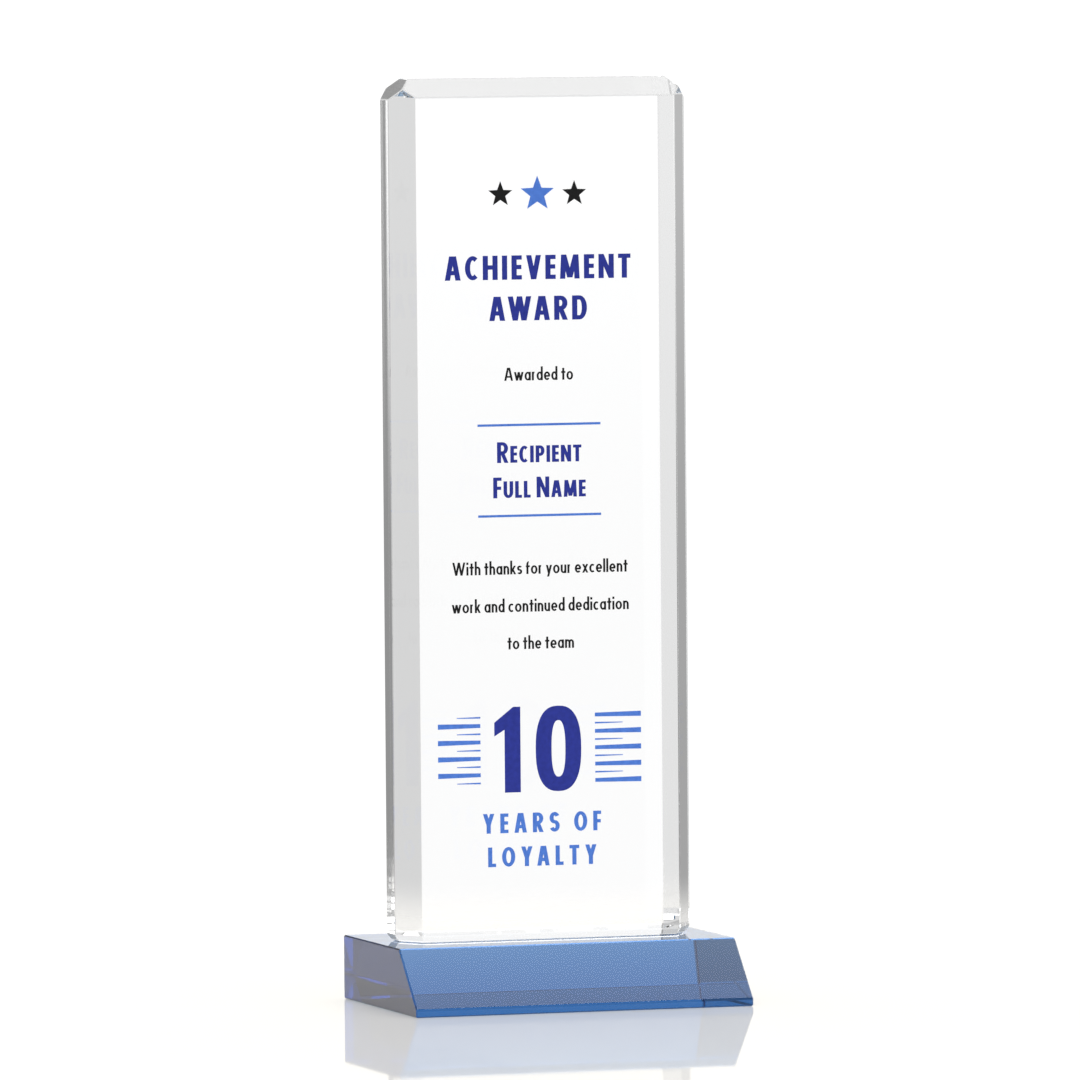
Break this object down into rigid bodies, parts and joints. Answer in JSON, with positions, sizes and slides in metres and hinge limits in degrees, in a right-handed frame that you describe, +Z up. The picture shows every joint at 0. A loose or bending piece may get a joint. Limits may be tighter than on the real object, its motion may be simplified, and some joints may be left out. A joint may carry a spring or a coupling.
{
  "type": "crystal award trophy",
  "caption": "Upright clear crystal panel with bevelled sides and top and cut corners, bonded to a low blue crystal base with a sloped front, with printed artwork.",
  "frame": {"origin": "centre of the base's underside, where the award stands", "axes": "+Z up along the panel; +X to the right seen from the front; the printed face and the base's sloped front face -Y"},
  "size_m": [0.0772, 0.0536, 0.2032],
  "materials": {
    "clear_crystal": "polished clear optical crystal, IOR about 1.517",
    "blue_crystal": "polished, blue through the body",
    "clear_adhesive": "clear cured adhesive film",
    "navy_ink": "satin printed ink",
    "blue_ink": "satin printed ink",
    "charcoal_ink": "satin printed ink"
  },
  "bodies": {
    "root": {"crystal_panel": "clear_crystal", "crystal_base": "blue_crystal", "adhesive_bond": "clear_adhesive", "print_star_left": "charcoal_ink", "print_star_centre": "blue_ink", "print_star_right": "charcoal_ink", "print_rule_upper": "blue_ink", "print_rule_lower": "blue_ink", "print_numeral_one": "navy_ink", "print_numeral_zero": "navy_ink", "print_bar_left_1": "blue_ink", "print_bar_left_2": "blue_ink", "print_bar_left_3": "blue_ink", "print_bar_left_4": "blue_ink", "print_dash_left_1": "blue_ink", "print_dash_left_2": "blue_ink", "print_dash_left_3": "blue_ink", "print_dash_left_4": "blue_ink", "print_dash_left_5": "blue_ink", "print_bar_right_1": "blue_ink", "print_bar_right_2": "blue_ink", "print_bar_right_3": "blue_ink", "print_bar_right_4": "blue_ink", "print_bar_right_5": "blue_ink", "print_dash_right_1": "blue_ink", "print_dash_right_2": "blue_ink", "print_dash_right_3": "blue_ink", "print_dash_right_4": "blue_ink"}
  },
  "joints": []
}
